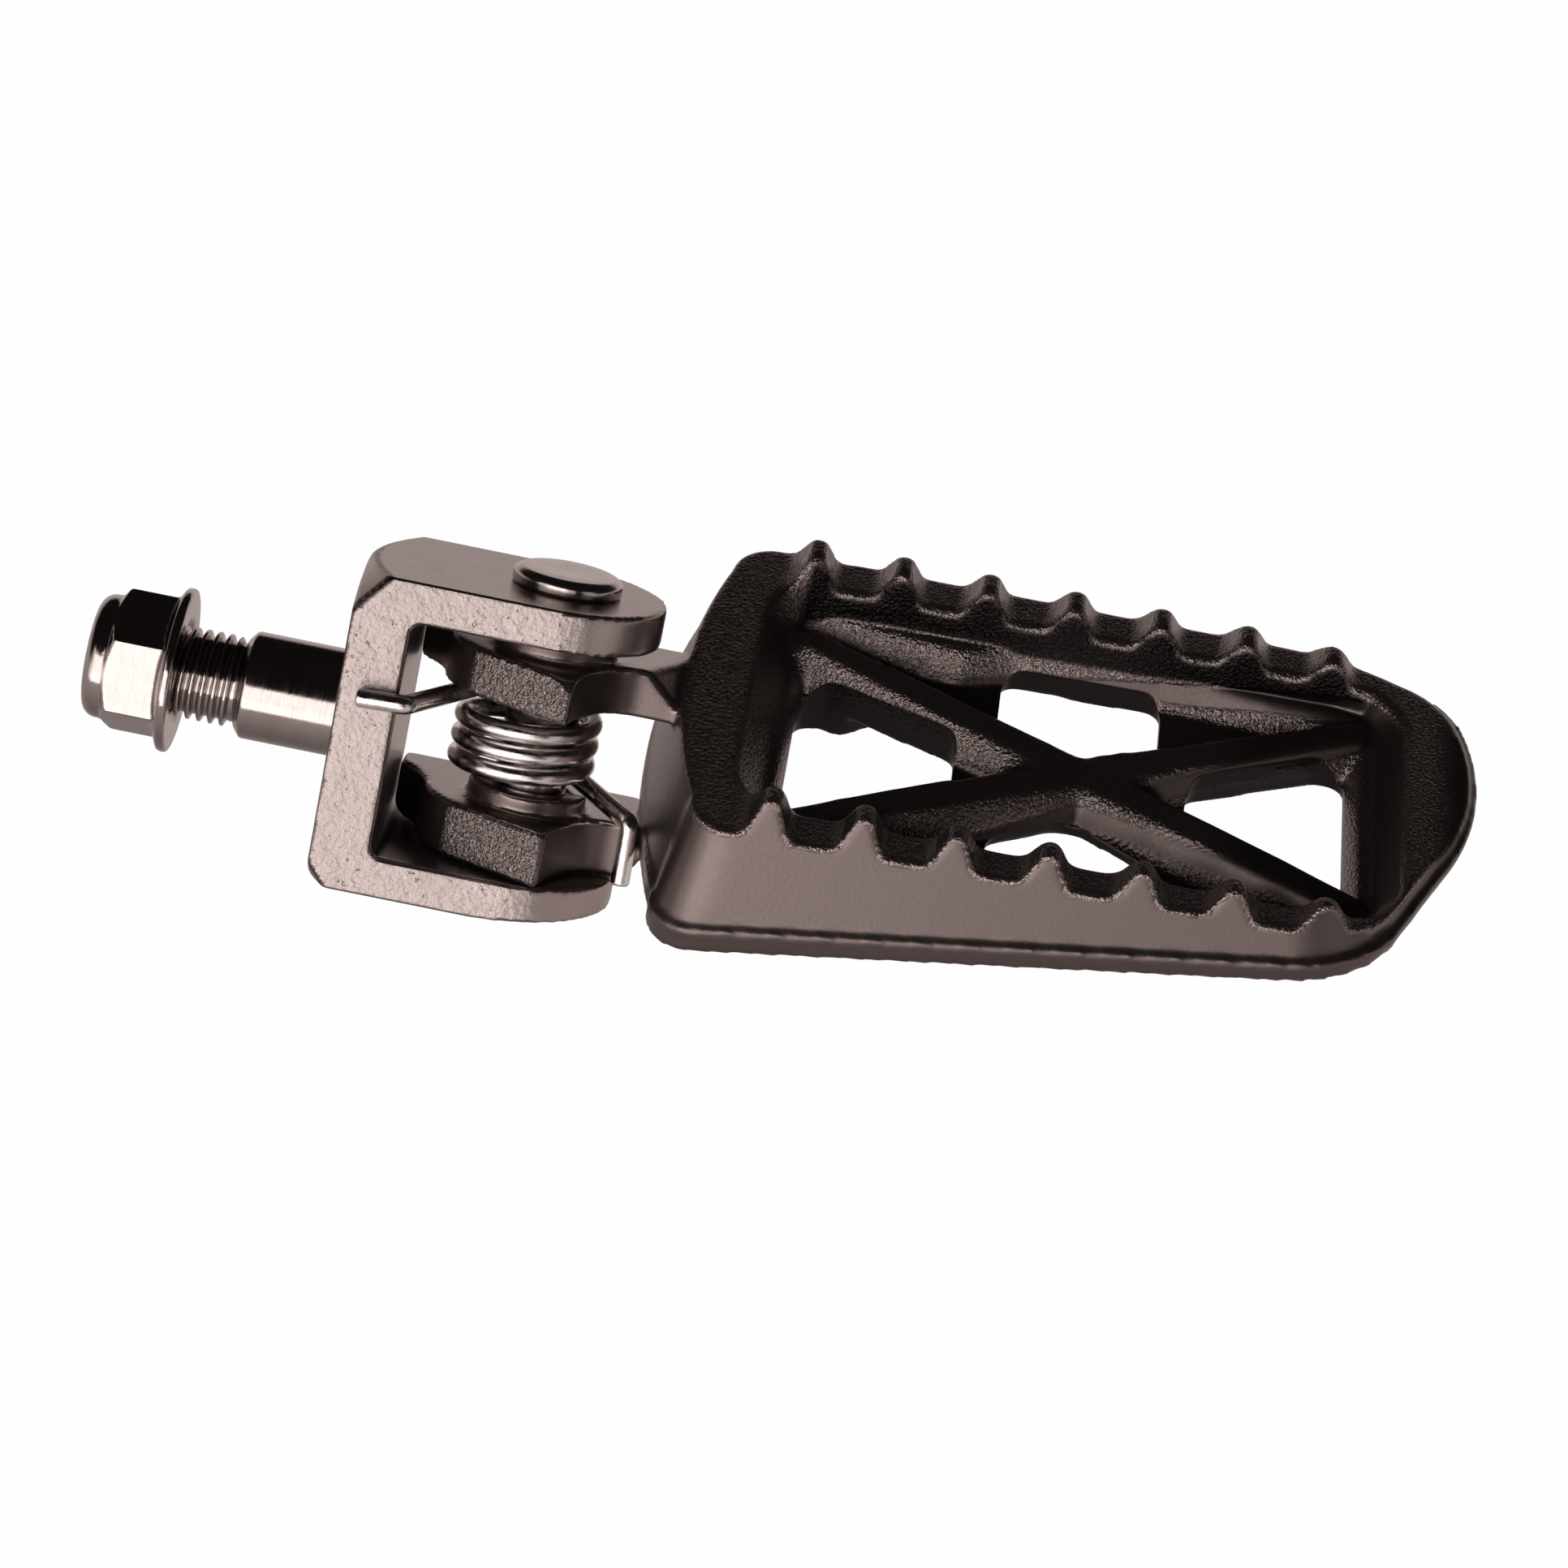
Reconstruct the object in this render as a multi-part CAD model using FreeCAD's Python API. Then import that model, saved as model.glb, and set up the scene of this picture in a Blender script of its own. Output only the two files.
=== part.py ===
"""Folding motorcycle foot peg, right-hand side, in millimetres.

Row frame: origin at the middle of the bracket's turned back face, on the stud's axis.
+X runs outboard along the stud and the platform, +Z is up, square to the platform's tooth tips,
and +Y runs across the platform.

The hinge pin leans HINGE_LEAN about X from +Z towards +Y, so that the peg folds up and back.
Pieces round the hinge are drawn upright in hinge coordinates: x outboard from the stud's back face,
z along the pin towards its head, and the bracket's open mouth facing -y.  lean() tips them over.
"""
import FreeCAD, Part
import math
import os

V = FreeCAD.Vector
X_AXIS, Z_AXIS = V(1, 0, 0), V(0, 0, 1)

# ---- hinge bracket -------------------------------------------------------------------------
HINGE_X = 21.3          # stud's back face to hinge axis
HINGE_LEAN = 25.0       # degrees, hinge pin from the platform's upright
BRACKET_HEIGHT = 35.0   # over both ears, along the pin
GAP = 26.0              # between the ears
WALL = 6.5              # back wall
DEPTH = 23.1            # ear width, and twice the ear's end radius
TURNED_RADIUS = 17.7    # where the 45 degree round chamfer starts on the back face
TURNED_CENTRE = (-0.9, -0.7)    # y and z of that chamfer's axis
CORNER_FILLET = 1.2     # inside corners of the U
EAR_SHIFT = 0.5         # the ears' end arcs are centred this far inboard of the hinge axis
BEVEL_START = -3.0      # the lower ear's underside rises from here, measured from the hinge axis,
BEVEL_RISE = 1.2        # by this much at its end
SPOT_RADIUS = 8.0       # flat seat for the washer, cut into that underside
SPOT_DEPTH = 1.0

# ---- stud and nut --------------------------------------------------------------------------
SHANK_RADIUS = 5.9
SHANK_LENGTH = 10.5
THREAD_RADIUS = 5.0     # M10 x 1.25
THREAD_PITCH = 1.25
THREAD_DEPTH = 0.7
STUD_END = 26.3         # back face to the stud's end
NUT_SEAT = 17.9         # back face to the nut's bearing face
FLANGE_RADIUS = 9.05
FLANGE_THICK = 1.1
NUT_ACROSS_FLATS = 14.0
HEX_TOP = 7.4           # bearing face to the end of the hexagon
NUT_HEIGHT = 9.9
NUT_TURN = 7.0          # degrees the hexagon is turned from Y towards Z
COLLAR_RADIUS = 6.8
INSERT_RADIUS = 6.0
INSERT_THICK = 2.1
THREAD_SLACK = 0.12     # radial room between the stud's crests and the nut

# ---- hinge pin, washer, retaining ring -----------------------------------------------------
PIN_RADIUS = 4.0
PIN_SLACK = 0.08        # radial
HEAD_RADIUS = 6.0
HEAD_THICK = 2.0
PIN_TAIL = 2.8          # pin beyond the washer's seat
WASHER_RADIUS = 7.0
WASHER_THICK = 0.8
RING_RADIUS = 5.4       # outside of the retaining ring
RING_THICK = 0.7
GROOVE_RADIUS = 3.2
GROOVE_SLACK = 0.05     # ring to each side of its groove

# ---- return spring -------------------------------------------------------------------------
WIRE_RADIUS = 1.05
COIL_RADIUS = 7.0       # to the wire's centre
COIL_PITCH = 2.3
COIL_SHIFT = -1.4       # the loose coil is pushed this far inboard of the hinge axis
COIL_TOP = 4.05         # height of the wire where the coil starts

# ---- lugs ----------------------------------------------------------------------------------
UPPER_LUG = (5.3, 10.6)     # heights along the pin
LOWER_LUG = (-12.8, -6.7)
BOSS_RADIUS = 6.6
UPPER_BOSS_TOP = 12.8
LOWER_BOSS_TOP = -4.5
HEEL_GAP = 0.15             # between the heels and the bracket's back wall
LUG_BACK = 11.0             # hinge axis to the lugs' rear face
HEEL_CHAMFER = 1.0          # on the lower heel, clear of the bracket's inside corner
SHOULDER_RADIUS = 12.7      # the upper lug's front corner is turned round the pin to this radius
SHOULDER_ROUND = 2.8

# ---- platform ------------------------------------------------------------------------------
MIDDLE_Y = 7.8
HALF_WIDTH = 25.0           # at rim height
RIM_Z_ROOT, RIM_SLOPE = 7.5, 0.019      # the rim climbs slowly towards the tip
TIP_Z = 11.4
DRAFT = 0.41                # sideways growth per millimetre of drop
END_DRAFT_SHARE = 0.5       # the inboard end flares this share of the draft
LEFT_X, RIGHT_X = 35.6, 122.6
LEDGE_STEP = 0.8
LEDGE_Z_ROOT, LEDGE_SLOPE = -2.0, 0.133
ROOT_X = 47.0               # where the heights called ROOT are measured
BAND_ROOT, BAND_TIP = 3.2, 2.5
RIM_THICK = 5.05
TOOTH_COUNT = 7
TOOTH_PITCH = 9.88
FIRST_TOOTH_X = 47.4
WEB_TOP_ROOT, WEB_TOP_TIP = 2.8, 4.6
WEB_LOW_ROOT, WEB_LOW_TIP = -1.6, 1.2
TIP_X = 111.5               # where the heights called TIP are measured
CROSS = (80.2, 7.6)
RIB_ENDS = ((45.5, 23.0), (45.5, -12.0), (112.5, 23.6), (112.5, -8.6))
RIB_RADIUS = 2.9
RIB_RISE_END, RIB_RISE_MIDDLE = 1.3, 0.5


def lean(shape):
    """Tip a shape from hinge coordinates into the row frame."""
    shape.rotate(V(0, 0, 0), X_AXIS, -HINGE_LEAN)
    return shape


def cylinder(radius, low, high, x=HINGE_X, y=0.0):
    """Upright cylinder between two heights."""
    return Part.makeCylinder(radius, high - low, V(x, y, low), Z_AXIS)


def rod(radius, start, end):
    """Cylinder along X, from one X to another, on the stud's axis."""
    return Part.makeCylinder(radius, end - start, V(start, 0, 0), X_AXIS)


def closed_wire(segments):
    """Wire from a list of segments: two points make a line, three make an arc."""
    edges = []
    for seg in segments:
        if len(seg) == 2:
            edges.append(Part.makeLine(seg[0], seg[1]))
        else:
            edges.append(Part.Arc(seg[0], seg[1], seg[2]).toShape())
    return Part.Wire(edges)


def prism(segments, direction):
    return Part.Face(closed_wire(segments)).extrude(direction)


def polygon(points):
    return Part.Face(Part.makePolygon(points + points[:1]))


# ---- bracket with its stud -----------------------------------------------------------------
def thread_core(start, end):
    """Threaded length of the stud: one revolved saw-tooth profile."""
    root = THREAD_RADIUS - THREAD_DEPTH
    points = [V(start, 0, 0), V(start, 0, root)]
    x = start
    while x + THREAD_PITCH <= end + 1e-6:
        points.append(V(x + 0.40 * THREAD_PITCH, 0, THREAD_RADIUS))
        points.append(V(x + 0.60 * THREAD_PITCH, 0, THREAD_RADIUS))
        points.append(V(x + THREAD_PITCH, 0, root))
        x += THREAD_PITCH
    points.append(V(x, 0, 0))
    return polygon(points).revolve(V(0, 0, 0), X_AXIS, 360)


def stud():
    shank = rod(SHANK_RADIUS, -SHANK_LENGTH, 0.5)
    nose = Part.makeCone(THREAD_RADIUS - 0.1, SHANK_RADIUS, 0.8, V(-SHANK_LENGTH - 0.8, 0, 0), X_AXIS)
    relief = rod(THREAD_RADIUS - THREAD_DEPTH, -SHANK_LENGTH - 1.6, -SHANK_LENGTH - 0.4)
    thread_start = -SHANK_LENGTH - 1.2
    turns = int((STUD_END + thread_start) / THREAD_PITCH)
    thread = thread_core(thread_start - turns * THREAD_PITCH, thread_start)
    return shank.fuse([nose, relief, thread])


def washer_seat():
    """Height of the flat seat under the lower ear."""
    return SPOT_DEPTH - BRACKET_HEIGHT / 2


def bracket():
    half = BRACKET_HEIGHT / 2
    reach = DEPTH / 2
    block = Part.makeBox(HINGE_X - EAR_SHIFT, DEPTH, BRACKET_HEIGHT, V(0, -reach, -half))
    block = block.fuse(cylinder(reach, -half, half, HINGE_X - EAR_SHIFT))
    length = HINGE_X + reach + 1
    turned = Part.makeCone(TURNED_RADIUS, TURNED_RADIUS + length, length, V(0, *TURNED_CENTRE), X_AXIS)
    block = block.common(turned)
    slot = Part.makeBox(HINGE_X + reach, DEPTH + 2, GAP, V(WALL, -reach - 1, -GAP / 2))
    corners = [e for e in slot.Edges if abs(e.CenterOfMass.x - WALL) < 1e-6
               and abs(abs(e.CenterOfMass.z) - GAP / 2) < 1e-6]
    slot = slot.makeFillet(CORNER_FILLET, corners)
    bore = cylinder(PIN_RADIUS + PIN_SLACK, -half - 1, half + 1)
    spot = cylinder(SPOT_RADIUS, -half - 1, washer_seat())
    start, end = HINGE_X + BEVEL_START, HINGE_X + reach
    wedge = polygon([V(start, -20, -half), V(end, -20, -half + BEVEL_RISE), V(end, -20, -half - 1),
                     V(start, -20, -half - 1)]).extrude(V(0, 40, 0))
    return lean(block.cut(slot.fuse([bore, spot, wedge]))).fuse(stud()).removeSplitter()


# ---- lock nut ------------------------------------------------------------------------------
def nut_profile_solid():
    """Flange, body and crimped collar of the nut as one turned shape, before the hexagon is cut."""
    seat, top = -NUT_SEAT, -NUT_SEAT - NUT_HEIGHT
    hex_end = -NUT_SEAT - HEX_TOP
    corner = NUT_ACROSS_FLATS / math.sqrt(3)
    body = rod(corner, hex_end, seat - 0.3)
    chamfer = Part.makeCone(corner - 1.0, corner + 1.0, 1.2, V(hex_end, 0, 0), X_AXIS)
    chamfer = chamfer.fuse(rod(corner + 1, hex_end + 1.2, seat))
    body = body.common(chamfer)
    angles = [math.radians(60 * i + NUT_TURN) for i in range(6)]
    flats = polygon([V(hex_end - 1, corner * math.cos(a), corner * math.sin(a)) for a in angles])
    body = body.common(flats.extrude(V(HEX_TOP + 2, 0, 0)))
    skirt = Part.makeCone(corner - 0.6, FLANGE_RADIUS, 0.7, V(seat - FLANGE_THICK - 0.6, 0, 0), X_AXIS)
    flange = rod(FLANGE_RADIUS, seat - FLANGE_THICK + 0.05, seat)
    flange = flange.makeFillet(0.35, flange.Edges[:1] + flange.Edges[2:])
    collar = rod(COLLAR_RADIUS, top, hex_end + 0.5)
    outer_end = [e for e in collar.Edges if abs(e.CenterOfMass.x - top) < 1e-6]
    collar = collar.makeFillet(1.6, outer_end)
    return body.fuse([skirt, flange, collar])


def lock_nut():
    top = -NUT_SEAT - NUT_HEIGHT
    nut = nut_profile_solid()
    bore = rod(THREAD_RADIUS + THREAD_SLACK, top - 1, -NUT_SEAT + 1)
    pocket = rod(INSERT_RADIUS, top + 0.7, top + 0.7 + INSERT_THICK)
    mouth = Part.makeCone(THREAD_RADIUS, THREAD_RADIUS + 0.9, 0.9, V(-NUT_SEAT - 0.9, 0, 0), X_AXIS)
    return nut.cut(bore.fuse([pocket, mouth])).removeSplitter()


def nut_insert():
    top = -NUT_SEAT - NUT_HEIGHT
    ring = rod(INSERT_RADIUS, top + 0.7, top + 0.7 + INSERT_THICK)
    return ring.cut(rod(THREAD_RADIUS + THREAD_SLACK, top, top + 4))


# ---- hinge pin, washer and retaining ring --------------------------------------------------
def ring_top():
    """Height of the groove's upper side, just under the washer."""
    return washer_seat() - 0.02 - WASHER_THICK


def hinge_pin():
    half = BRACKET_HEIGHT / 2
    head = cylinder(HEAD_RADIUS, half, half + HEAD_THICK)
    crown = [e for e in head.Edges if abs(e.CenterOfMass.z - half - HEAD_THICK) < 1e-6]
    head = head.makeFillet(0.7, crown)
    end = washer_seat() - PIN_TAIL
    shank = cylinder(PIN_RADIUS, end, half + 1)
    tail = [e for e in shank.Edges if abs(e.CenterOfMass.z - end) < 1e-6]
    shank = shank.makeChamfer(0.5, tail)
    top, low = ring_top(), ring_top() - RING_THICK - 2 * GROOVE_SLACK
    groove = cylinder(PIN_RADIUS + 1, low, top).cut(cylinder(GROOVE_RADIUS, low - 1, top + 1))
    return lean(head.fuse(shank).cut(groove).removeSplitter())


def pin_washer():
    top = washer_seat() - 0.01
    ring = cylinder(WASHER_RADIUS, top - WASHER_THICK, top)
    return lean(ring.cut(cylinder(PIN_RADIUS + 0.15, top - 3, top + 1)))


def retaining_ring():
    """Open ring that grips the groove at three points and is pushed on from the side."""
    top = ring_top() - GROOVE_SLACK
    low = top - RING_THICK
    ring = cylinder(RING_RADIUS, low, top).cut(cylinder(RING_RADIUS - 1.3, low - 1, top + 1))
    mouth = Part.makeBox(12, 5.6, 4, V(HINGE_X, -2.8, low - 1))
    ring = ring.cut(mouth)
    grips = []
    for angle in (90, 180, 270):
        lug = Part.makeBox(RING_RADIUS - 0.6 - GROOVE_RADIUS, 2.4, RING_THICK,
                           V(HINGE_X + GROOVE_RADIUS - 0.02, -1.2, low))
        lug.rotate(V(HINGE_X, 0, 0), Z_AXIS, angle)
        grips.append(lug)
    ring = ring.fuse(grips).cut(cylinder(GROOVE_RADIUS + 0.02, low - 1, top + 1))
    return lean(ring.removeSplitter())


def wire_solid(path, radius):
    """Sweep a round section along a tangent path."""
    wire = Part.Wire(path)
    first = path[0]
    start = first.valueAt(first.FirstParameter)
    tangent = first.tangentAt(first.FirstParameter)
    section = Part.Wire(Part.makeCircle(radius, start, tangent))
    return wire.makePipeShell([section], True, True)


# ---- return spring -------------------------------------------------------------------------
def spring_points():
    """Ends of the coil and the legs' bends, in hinge coordinates."""
    cx = HINGE_X + COIL_SHIFT
    wall_y = -(DEPTH / 2 + WIRE_RADIUS + 0.05)
    left_end = V(2.2, wall_y, COIL_TOP + 0.2)
    left_bend = V(7.4, wall_y, COIL_TOP + 0.4)
    right_bend = V(HINGE_X + 11.6, -3.2, -6.0)
    right_end = V(HINGE_X + 11.8, -3.7, -13.0)
    return cx, left_end, left_bend, right_bend, right_end


def tangent_angle(cx, point, turn):
    """Angle on the coil where a straight leg to the point leaves it; turn is +1 or -1."""
    dx, dy = point.x - cx, point.y
    return math.atan2(dy, dx) + turn * math.acos(COIL_RADIUS / math.hypot(dx, dy))


def return_spring():
    cx, left_end, left_bend, right_bend, right_end = spring_points()
    start = tangent_angle(cx, left_bend, -1)
    finish = tangent_angle(cx, right_bend, 1)
    while finish > start:
        finish -= 2 * math.pi
    finish -= 2 * math.pi * 3
    swept = start - finish
    steps = 48
    points = []
    for i in range(steps + 1):
        a = start - swept * i / steps
        z = COIL_TOP - COIL_PITCH * swept / (2 * math.pi) * i / steps
        points.append(V(cx + COIL_RADIUS * math.cos(a), COIL_RADIUS * math.sin(a), z))
    coil = Part.BSplineCurve()
    coil.interpolate(points)
    solids = [wire_solid([coil.toShape()], WIRE_RADIUS)]
    for a, b in ((left_end, left_bend), (left_bend, points[0]), (points[-1], right_bend),
                 (right_bend, right_end)):
        solids.append(Part.makeCylinder(WIRE_RADIUS, (b - a).Length, a, b - a))
    for joint in (left_bend, right_bend, points[0], points[-1]):
        solids.append(Part.makeSphere(WIRE_RADIUS, joint))
    return lean(solids[0].fuse(solids[1:]))


# ---- platform ------------------------------------------------------------------------------
def along(x, root, tip):
    """Height that runs straight from root to tip."""
    return root + (tip - root) * (x - ROOT_X) / (TIP_X - ROOT_X)


def rim_z(x):
    return RIM_Z_ROOT + RIM_SLOPE * (x - ROOT_X)


def ledge_z(x):
    return LEDGE_Z_ROOT + LEDGE_SLOPE * (x - ROOT_X)


def flat(value):
    return lambda x: value


def grown(x, y, d):
    """Move an outline point outward by d, with less growth at the inboard end."""
    share = -END_DRAFT_SHARE + (1 + END_DRAFT_SHARE) * (x - LEFT_X) / (RIGHT_X - LEFT_X)
    return x + d * share, MIDDLE_Y + (y - MIDDLE_Y) * (1 + d / HALF_WIDTH)


def rim_outline():
    """Plan outline at the rim, as lines and three-point arcs."""
    near, far = MIDDLE_Y - HALF_WIDTH, MIDDLE_Y + HALF_WIDTH
    return [((43.5, near), (103.0, near + 1.1)),
            ((103.0, near + 1.1), (109.7, -14.2), (113.6, -10.6)),
            ((113.6, -10.6), (118.6, -0.6)),
            ((118.6, -0.6), (RIGHT_X, 13.0), (120.7, 24.5)),
            ((120.7, 24.5), (118.5, 27.5), (114.8, 29.6)),
            ((114.8, 29.6), (108.0, 31.9), (100.0, far)),
            ((100.0, far), (43.5, far + 0.3)),
            ((43.5, far + 0.3), (39.9, far - 1.2), (38.5, 28.5)),
            ((38.5, 28.5), (LEFT_X, 8.0), (38.9, -12.0)),
            ((38.9, -12.0), (40.2, -15.8), (43.5, near))]


def outline_wire(offset, height):
    """Rim outline grown by offset(x) and placed at height(x)."""
    segments = []
    for seg in rim_outline():
        moved = []
        for x, y in seg:
            gx, gy = grown(x, y, offset(x))
            moved.append(V(gx, gy, height(gx)))
        segments.append(moved)
    return closed_wire(segments)


def sloped_block(low, high, reach=160):
    """Everything between two height functions of x."""
    corners = [(0, low(0)), (reach, low(reach)), (reach, high(reach)), (0, high(0))]
    return polygon([V(x, -60, z) for x, z in corners]).extrude(V(0, 120, 0))


def platform_shell():
    """Drafted skirt standing on a stepped band, up to the tooth tips."""
    deep = -9.0
    top = outline_wire(lambda x: -DRAFT * (TIP_Z - rim_z(x)), flat(TIP_Z))
    base = outline_wire(lambda x: DRAFT * (rim_z(x) - deep), flat(deep))
    skirt = Part.makeLoft([base, top], True, True)
    skirt = skirt.cut(sloped_block(flat(-60), ledge_z))
    step = outline_wire(lambda x: DRAFT * (rim_z(x) - ledge_z(x)) + LEDGE_STEP, ledge_z)
    band = Part.Face(step).extrude(V(0, 0, -BAND_ROOT - 1))
    band = band.common(sloped_block(lambda x: ledge_z(x) - along(x, BAND_ROOT, BAND_TIP), flat(60)))
    return skirt.fuse(band)


def rounded_plan(x0, x1, y0, y1, r0, r1, height):
    """Rectangle with round corners (r0 inboard, r1 outboard), placed at height(x)."""
    k0, k1 = r0 * (1 - math.sqrt(0.5)), r1 * (1 - math.sqrt(0.5))
    p = lambda x, y: V(x, y, height(x))
    return closed_wire([(p(x0 + r0, y0), p(x1 - r1, y0)),
                        (p(x1 - r1, y0), p(x1 - k1, y0 + k1), p(x1, y0 + r1)),
                        (p(x1, y0 + r1), p(x1, y1 - r1)),
                        (p(x1, y1 - r1), p(x1 - k1, y1 - k1), p(x1 - r1, y1)),
                        (p(x1 - r1, y1), p(x0 + r0, y1)),
                        (p(x0 + r0, y1), p(x0 + k0, y1 - k0), p(x0, y1 - r0)),
                        (p(x0, y1 - r0), p(x0, y0 + r0)),
                        (p(x0, y0 + r0), p(x0 + k0, y0 + k0), p(x0 + r0, y0))])


def bowl():
    """Hollow between the rims, down to the web."""
    near, far = MIDDLE_Y - HALF_WIDTH + RIM_THICK, MIDDLE_Y + HALF_WIDTH - RIM_THICK
    floor = lambda x: along(x, WEB_TOP_ROOT, WEB_TOP_TIP)
    low = rounded_plan(46.5, 112.0, near + 0.9, far - 0.9, 5.0, 5.0, floor)
    high = rounded_plan(39.5, 118.5, near - 0.2, far - 0.2, 8.0, 9.0, flat(TIP_Z + 0.5))
    return Part.makeLoft([low, high], True, True)


def underside_plan():
    """Outline of the hollow under the web: it tapers in towards the root."""
    half = [(48.2, 2.2), (52.0, 7.4), (58.5, 11.6), (72.0, 21.6), (106.0, 20.6), (112.6, 14.2)]
    return [(x, MIDDLE_Y + y) for x, y in half] + [(x, MIDDLE_Y - y) for x, y in reversed(half)]


def web_low(x):
    return along(x, WEB_LOW_ROOT, WEB_LOW_TIP)


def underside():
    return window(underside_plan(), 3.0).common(sloped_block(flat(-60), web_low))


def web_plate():
    """The web's full thickness, which stands proud of the band near the tip."""
    top = lambda x: along(x, WEB_TOP_ROOT, WEB_TOP_TIP) - 0.1
    return window(underside_plan(), 3.0).common(sloped_block(web_low, top))


def ribs():
    """Crossed ribs: four round bars from the corners to a slightly lower middle."""
    crest = lambda x, rise: along(x, WEB_TOP_ROOT, WEB_TOP_TIP) + rise - RIB_RADIUS
    middle = V(CROSS[0], CROSS[1], crest(CROSS[0], RIB_RISE_MIDDLE))
    bars = []
    for x, y in RIB_ENDS:
        end = V(x, y, crest(x, RIB_RISE_END))
        bars.append(Part.makeCylinder(RIB_RADIUS, (end - middle).Length, middle, end - middle))
    return bars


def window(points, radius):
    """Upright hole through the web, with rounded corners."""
    hole = polygon([V(x, y, -20) for x, y in points]).extrude(V(0, 0, 34))
    upright = [e for e in hole.Edges if abs(e.tangentAt(e.FirstParameter).z) > 0.99]
    return hole.makeFillet(radius, upright)


def windows():
    """Four holes between the ribs."""
    left = [(48.4, -5.2), (48.4, 17.2), (51.5, 17.2), (66.5, 11.0), (66.5, 2.4), (54.3, -5.2)]
    right = [(92.3, 5.2), (92.3, 10.8), (106.5, 18.0), (110.0, 18.0), (110.0, -1.9), (104.0, -1.9)]
    far = [(70.7, 25.9), (70.7, 16.8), (80.6, 11.2), (83.2, 11.2), (88.9, 17.0), (88.9, 25.9)]
    near = [(71.0, -10.4), (71.0, -2.4), (79.2, 2.3), (81.2, 2.3), (88.4, -2.0), (88.4, -10.4)]
    return [window(points, 1.9) for points in (left, right, far, near)]


def tooth(x):
    """Tooth section across the rim, as a prism along Y."""
    low = rim_z(x)
    tip, foot, y = TIP_Z, low - 1.0, -60
    p = lambda dx, z: V(x + dx, y, z)
    return prism([(p(-3.5, foot), p(-3.5, low - 0.1)),
                  (p(-3.5, low - 0.1), p(-2.6, low + 0.3), p(-2.1, low + 1.0)),
                  (p(-2.1, low + 1.0), p(-1.0, tip - 0.4)),
                  (p(-1.0, tip - 0.4), p(0, tip), p(1.0, tip - 0.4)),
                  (p(1.0, tip - 0.4), p(2.1, low + 1.0)),
                  (p(2.1, low + 1.0), p(2.6, low + 0.3), p(3.5, low - 0.1)),
                  (p(3.5, low - 0.1), p(3.5, foot)),
                  (p(3.5, foot), p(-3.5, foot))], V(0, 120, 0))


def lug_profile(z):
    """Plan of a lug in hinge coordinates, at height z; +Z' of the drawing is -y here."""
    p = lambda dx, front: V(HINGE_X + dx, -front, z)
    heel = WALL - HINGE_X + HEEL_GAP
    return [(p(-5.6, 7.6), p(3.2, 12.16)),
            (p(3.2, 12.16), p(4.5, 7.2), p(6.6, 3.4)),
            (p(6.6, 3.4), p(8.3, 2.0), p(10.6, 1.6)),
            (p(10.6, 1.6), p(17.5, 1.6)),
            (p(17.5, 1.6), p(17.5, -LUG_BACK)),
            (p(17.5, -LUG_BACK), p(heel, -LUG_BACK)),
            (p(heel, -LUG_BACK), p(heel, -6.8)),
            (p(heel, -6.8), p(-12.4, -4.0), p(-11.2, 0.3)),
            (p(-11.2, 0.3), p(-9.2, 4.6), p(-5.6, 7.6))]


def shoulder_cut():
    """What turning takes off the upper lug's front corner, where the flat meets the top."""
    top = UPPER_LUG[1]
    inner, outer = SHOULDER_RADIUS - SHOULDER_ROUND, SHOULDER_RADIUS
    low = top - SHOULDER_ROUND
    bend = SHOULDER_ROUND * math.sqrt(0.5)
    p = lambda r, z: V(HINGE_X - r, 0, z)
    section = closed_wire([(p(inner, top), p(inner + bend, low + bend), p(outer, low)),
                           (p(outer, low), p(outer + 3, low)),
                           (p(outer + 3, low), p(outer + 3, top + 1)),
                           (p(outer + 3, top + 1), p(inner, top + 1)),
                           (p(inner, top + 1), p(inner, top))])
    return Part.Face(section).revolve(V(HINGE_X, 0, 0), Z_AXIS, 115)


def lugs():
    """Both lugs, drawn in hinge coordinates and leaned over."""
    upper, lower = [prism(lug_profile(low), V(0, 0, high - low)) for low, high in (UPPER_LUG, LOWER_LUG)]
    heel_edge = [e for e in lower.Edges if e.CenterOfMass.x < WALL + 2 * HEEL_GAP
                 and abs(e.CenterOfMass.z - LOWER_LUG[0]) < 1e-6]
    lower = lower.makeChamfer(HEEL_CHAMFER, heel_edge)
    upper_boss = cylinder(BOSS_RADIUS, UPPER_LUG[1] - 1, UPPER_BOSS_TOP)
    lower_boss = cylinder(BOSS_RADIUS, LOWER_LUG[1] - 1, LOWER_BOSS_TOP).cut(leg_relief())
    return lean(upper.cut(shoulder_cut()).fuse([upper_boss, lower, lower_boss]))


def leg_relief():
    """Wedge off the lower boss where the spring's leg comes down past it."""
    inner, rim = HINGE_X + 1.6, HINGE_X + BOSS_RADIUS + 0.4
    corners = [(inner, LOWER_BOSS_TOP), (rim, LOWER_BOSS_TOP - 1.5), (rim, 0), (inner, 0)]
    return polygon([V(x, -0.8, z) for x, z in corners]).extrude(V(0, BOSS_RADIUS + 1, 0))


def lug_trim():
    """Space under and over the root, where the lugs end on the casting's own lines."""
    low = [(27, -19), (36, -7.5), (50, -7.5), (50, -40), (27, -40)]
    high = [(29, 12.5), (35.5, 7.0), (50, 7.0), (50, 40), (29, 40)]
    return [polygon([V(x, -60, z) for x, z in points]).extrude(V(0, 120, 0)) for points in (low, high)]


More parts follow.
